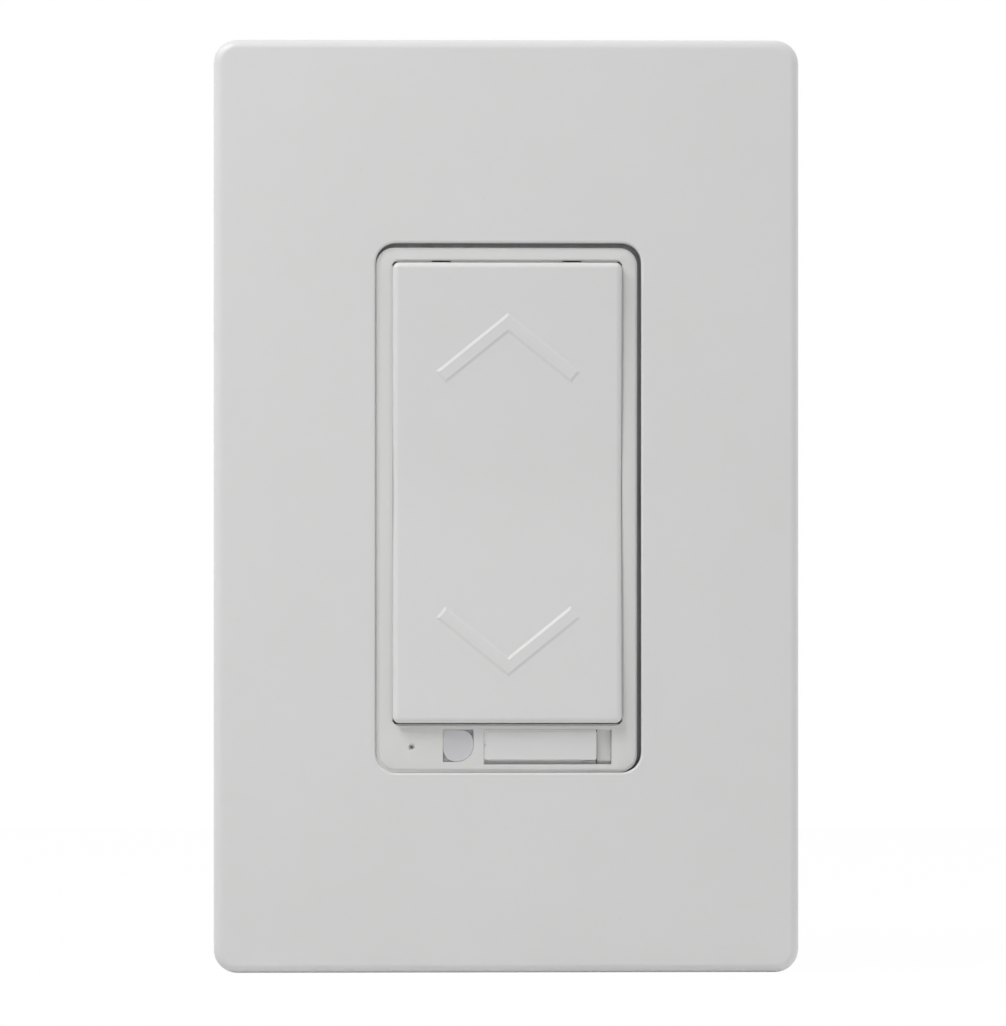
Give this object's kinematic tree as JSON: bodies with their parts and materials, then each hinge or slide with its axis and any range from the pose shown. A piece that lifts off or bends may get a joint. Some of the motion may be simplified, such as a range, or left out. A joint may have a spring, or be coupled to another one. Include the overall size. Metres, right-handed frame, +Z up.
{
  "type": "dimmer switch",
  "caption": "Wall dimmer with a rocker paddle, status lens, reset pinhole and sliding air-gap bar in a screwless wall plate, with metal yoke, rear housing and wire terminals.",
  "frame": {"origin": "middle of the device between its two box mounting screws, on the wall plane", "axes": "+X right as seen from the room, +Y into the wall along the mounting screws, +Z up"},
  "size_m": [0.0746, 0.0418, 0.119],
  "materials": {
    "white_plastic": "fine satin",
    "lens_plastic": "translucent, polished",
    "strap_metal": "stamped, matt",
    "screw_steel": "zinc plated",
    "white_screw": "white enamel",
    "fibre": "pressed fibre",
    "green_screw": "green dip",
    "housing_plastic": "fine spark texture",
    "board_laminate": "solder mask",
    "black_plastic": "moulded",
    "ivory_plastic": "moulded",
    "contact_rubber": "carbon filled",
    "spring_steel": "drawn wire",
    "brass": "stamped",
    "pad_rubber": "silicone",
    "led_plastic": "moulded",
    "ferrite": "coated",
    "copper_wire": "enamelled copper",
    "film_case": "box case",
    "can_sleeve": "shrink sleeve",
    "varistor_coat": "dipped coat"
  },
  "bodies": {
    "device": {"wallplate_cover": "white_plastic", "wallplate_subplate": "white_plastic", "front_frame": "white_plastic", "light_pipe": "lens_plastic", "yoke": "strap_metal", "mounting_screws": "screw_steel", "housing_screws": "screw_steel", "triac_screw": "screw_steel", "subplate_screws": "white_screw", "mounting_washers": "fibre", "ground_screw": "green_screw", "rear_housing": "housing_plastic", "control_board": "board_laminate", "power_board": "board_laminate", "board_header": "black_plastic", "controller_chip": "black_plastic", "upper_switch_body": "black_plastic", "lower_switch_body": "black_plastic", "reset_switch_body": "black_plastic", "airgap_switch_body": "black_plastic", "triac": "black_plastic", "upper_switch_spring": "spring_steel", "lower_switch_spring": "spring_steel", "terminal_plates": "brass", "terminal_screws": "brass", "airgap_fixed_contacts": "brass", "thermal_pad": "pad_rubber", "status_led": "led_plastic", "choke_core": "ferrite", "choke_winding": "copper_wire", "film_capacitor": "film_case", "electrolytic_capacitor": "can_sleeve", "varistor": "varistor_coat"},
    "paddle": {"paddle": "white_plastic"},
    "upper_plunger": {"upper_switch_plunger": "ivory_plastic", "upper_contact_pill": "contact_rubber"},
    "lower_plunger": {"lower_switch_plunger": "ivory_plastic", "lower_contact_pill": "contact_rubber"},
    "airgap_slider": {"airgap_knob": "white_plastic", "airgap_actuator": "black_plastic", "airgap_bridge": "brass"},
    "reset_plunger": {"reset_switch_plunger": "ivory_plastic"}
  },
  "joints": [
    {"name": "paddle_rock", "type": "hinge", "parent": "device", "child": "paddle", "pos_m": [0, -0.0048, 0.00205], "axis": [-1, 0, 0], "range_deg": [-2, 2], "stiffness_Nm_per_rad": 0.5},
    {"name": "upper_plunger_travel", "type": "slide", "parent": "device", "child": "upper_plunger", "axis": [0, 1, 0], "range_m": [-0.0007, 0.0007], "deforming": ["upper_switch_spring"]},
    {"name": "lower_plunger_travel", "type": "slide", "parent": "device", "child": "lower_plunger", "axis": [0, 1, 0], "range_m": [-0.0007, 0.0007], "deforming": ["lower_switch_spring"]},
    {"name": "airgap_slide", "type": "slide", "parent": "device", "child": "airgap_slider", "axis": [1, 0, 0], "range_m": [0, 0.0015]},
    {"name": "reset_press", "type": "slide", "parent": "device", "child": "reset_plunger", "axis": [0, 1, 0], "range_m": [0, 0.0003], "stiffness_N_per_m": 1000}
  ],
  "couplings": [
    {"joint": "upper_plunger_travel", "follows": "paddle_rock", "m_per_rad": 0.02},
    {"joint": "lower_plunger_travel", "follows": "paddle_rock", "m_per_rad": -0.02}
  ]
}
